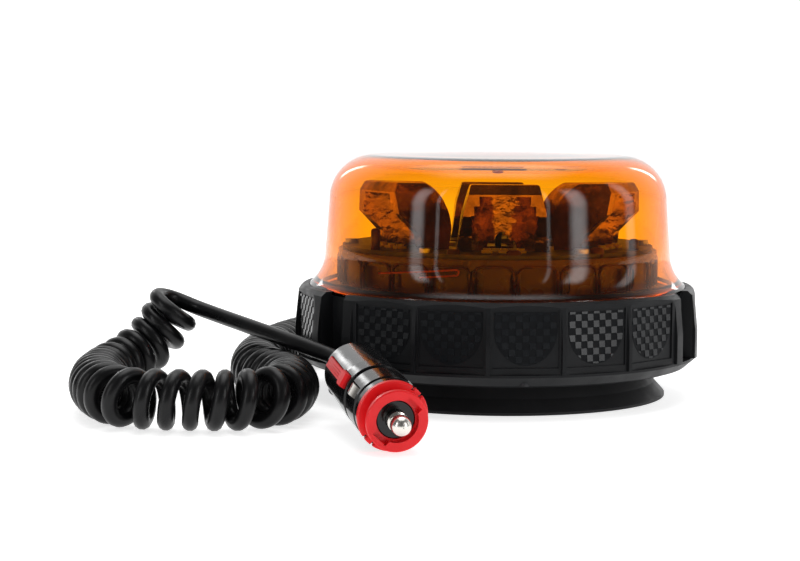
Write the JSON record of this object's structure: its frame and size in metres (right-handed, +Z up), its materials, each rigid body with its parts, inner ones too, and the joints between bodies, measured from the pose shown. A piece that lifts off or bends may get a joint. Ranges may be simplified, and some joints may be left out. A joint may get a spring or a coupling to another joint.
{
  "type": "magnetic warning beacon",
  "caption": "Low amber LED warning beacon with a ribbed grip ring on a magnetic rubber foot, and a curly cord with a universal lighter-socket plug.",
  "frame": {"origin": "on the beacon's axis, on the surface that the magnetic foot stands on", "axes": "+Z up along the beacon's axis, -Y the front of the beacon, where the plug lies, +X to the right"},
  "size_m": [0.2086, 0.2487, 0.0835],
  "materials": {
    "amber_lens": "clear moulded amber polycarbonate",
    "black_moulding": "fine-grained black moulding",
    "panel_moulding": "black moulding with a checkered relief on flat panels",
    "foot_rubber": "soft black rubber",
    "cord_jacket": "satin black elastomer cord jacket",
    "steel": "zinc-plated steel",
    "ferrite": "dark ceramic magnet",
    "carrier": "grey heat-conducting moulding",
    "reflector_film": "vacuum-metallised moulding",
    "circuit_board": "green solder mask",
    "board_white": "white solder mask",
    "diode": "white package with yellow phosphor",
    "component_black": "epoxy package",
    "copper": "enamelled copper winding and ferrite cap",
    "can": "printed aluminium can",
    "terminal_green": "terminal block",
    "wire_red": "insulated wire",
    "plug_black": "glossy black moulding",
    "plug_red": "satin red moulding",
    "nickel": "nickel plating",
    "fuse_glass": "clear glass tube"
  },
  "bodies": {
    "root": {"foot_boot": "foot_rubber", "magnet_cup": "steel", "ferrite_magnet": "ferrite", "magnet_bolt": "steel", "magnet_nut": "steel", "base_housing": "black_moulding", "grip_ring": "panel_moulding", "ring_screws": "steel", "dome": "amber_lens", "dome_seal": "foot_rubber", "deck_drum": "carrier", "deck_screws": "steel", "led_board": "board_white", "led_board_screws": "steel", "led_packages": "diode", "reflector_1": "reflector_film", "reflector_2": "reflector_film", "reflector_3": "reflector_film", "reflector_4": "reflector_film", "reflector_5": "reflector_film", "reflector_6": "reflector_film", "driver_board": "circuit_board", "driver_board_screws": "steel", "driver_inductor": "copper", "driver_capacitors": "can", "driver_transistors": "component_black", "driver_controller": "component_black", "supply_terminal": "terminal_green", "supply_leads": "wire_red", "led_lead": "cord_jacket", "cable_gland": "foot_rubber", "plug_nose_sleeve": "plug_black", "pin_spring": "steel", "fuse_glass": "fuse_glass", "fuse_caps": "nickel", "plug_barrel_front": "plug_black", "plug_barrel_rear": "plug_black", "latch_pins": "steel", "plug_strain_relief": "foot_rubber", "cord_coil": "cord_jacket", "cord_lead": "cord_jacket", "cord_tail": "cord_jacket"},
    "adapter": {"plug_adapter": "plug_red"},
    "centre_pin": {"centre_pin": "nickel"},
    "earth_contact_upper": {"earth_contact_upper": "nickel"},
    "earth_contact_lower": {"earth_contact_lower": "nickel"},
    "latch_upper": {"latch_upper": "plug_red"},
    "latch_lower": {"latch_lower": "plug_red"}
  },
  "joints": [
    {"name": "adapter_twist", "type": "hinge", "parent": "root", "child": "adapter", "pos_m": [-0.0279, -0.1349, 0.00995], "axis": [-0.2724, 0.9563, 0.1063], "range_deg": [0, 35]},
    {"name": "pin_press", "type": "slide", "parent": "root", "child": "centre_pin", "axis": [-0.2724, 0.9563, 0.1063], "range_m": [0, 0.0035], "stiffness_N_per_m": 500, "springref_m": -0.001, "deforming": ["pin_spring"]},
    {"name": "earth_contact_upper_press", "type": "slide", "parent": "root", "child": "earth_contact_upper", "axis": [0.8355, 0.2899, -0.4668], "range_m": [0, 0.0008], "stiffness_N_per_m": 900, "springref_m": -0.0005},
    {"name": "earth_contact_lower_press", "type": "slide", "parent": "root", "child": "earth_contact_lower", "axis": [-0.8355, -0.2899, 0.4668], "range_m": [0, 0.0008], "stiffness_N_per_m": 900, "springref_m": -0.0005},
    {"name": "latch_upper_press", "type": "hinge", "parent": "root", "child": "latch_upper", "pos_m": [-0.0499, -0.08442, 0.0197], "axis": [0.4772, 0.0384, 0.8779], "range_deg": [0, 2.4], "stiffness_Nm_per_rad": 0.6, "springref_deg": -1.15},
    {"name": "latch_lower_press", "type": "hinge", "parent": "root", "child": "latch_lower", "pos_m": [-0.03603, -0.07961, 0.01195], "axis": [-0.4772, -0.0384, -0.8779], "range_deg": [0, 2.4], "stiffness_Nm_per_rad": 0.6, "springref_deg": -1.15}
  ]
}
